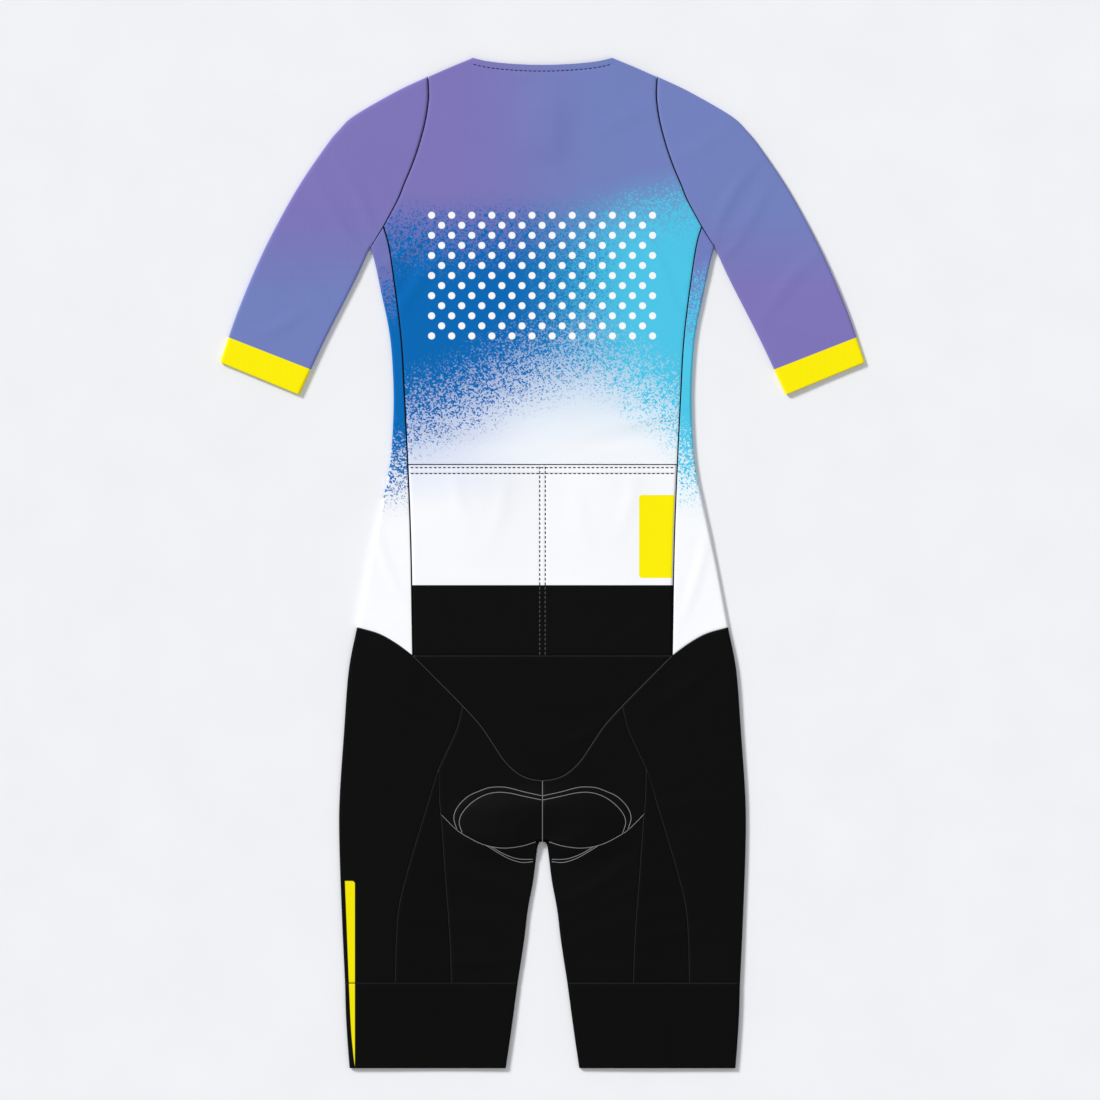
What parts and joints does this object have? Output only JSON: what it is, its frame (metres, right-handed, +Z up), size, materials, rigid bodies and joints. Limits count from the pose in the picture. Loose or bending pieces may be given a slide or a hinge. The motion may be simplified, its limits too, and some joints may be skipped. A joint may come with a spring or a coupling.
{
  "type": "two-piece skinsuit",
  "caption": "Short-sleeved two-piece cycling skinsuit with rear pockets, seat pad, leg bands and front zip, laid flat with its back up.",
  "frame": {"origin": "on the surface that the garment lies on, midway along its length and its width", "axes": "+Y from the legs' hems towards the neck, +Z up through the back, +X to the right as seen from above"},
  "size_m": [0.7018, 1.0996, 0.0116],
  "materials": {
    "printed_knit": "matt warp knit, dyed print",
    "front_knit": "matt warp knit, dyed print",
    "side_mesh": "matt open knit, dyed print",
    "sleeve_knit": "matt ribbed knit, dyed print",
    "pocket_knit": "matt warp knit",
    "shorts_knit": "smooth knit with a slight sheen",
    "leg_mesh": "matt open knit",
    "band_knit": "dense smooth knit",
    "pad_foam": "brushed knit over foam",
    "zip_tape": "woven tape with a nylon coil",
    "slider_enamel": "satin enamel",
    "pull_tape": "woven tape"
  },
  "bodies": {
    "root": {"back_body": "printed_knit", "jersey_front_left": "front_knit", "jersey_front_right": "front_knit", "side_panel_left": "side_mesh", "side_panel_right": "side_mesh", "sleeve_left": "sleeve_knit", "sleeve_right": "sleeve_knit", "pocket_panel": "pocket_knit", "back_yoke": "shorts_knit", "seat_left": "shorts_knit", "seat_right": "shorts_knit", "shorts_side_left": "shorts_knit", "shorts_side_right": "shorts_knit", "back_leg_left": "leg_mesh", "back_leg_right": "leg_mesh", "inner_leg_left": "shorts_knit", "inner_leg_right": "shorts_knit", "shorts_front_left": "shorts_knit", "shorts_front_right": "shorts_knit", "leg_band_left": "band_knit", "leg_band_right": "band_knit", "seat_pad": "pad_foam", "front_zip": "zip_tape", "zip_slider": "slider_enamel", "zip_pull": "pull_tape"}
  },
  "joints": []
}
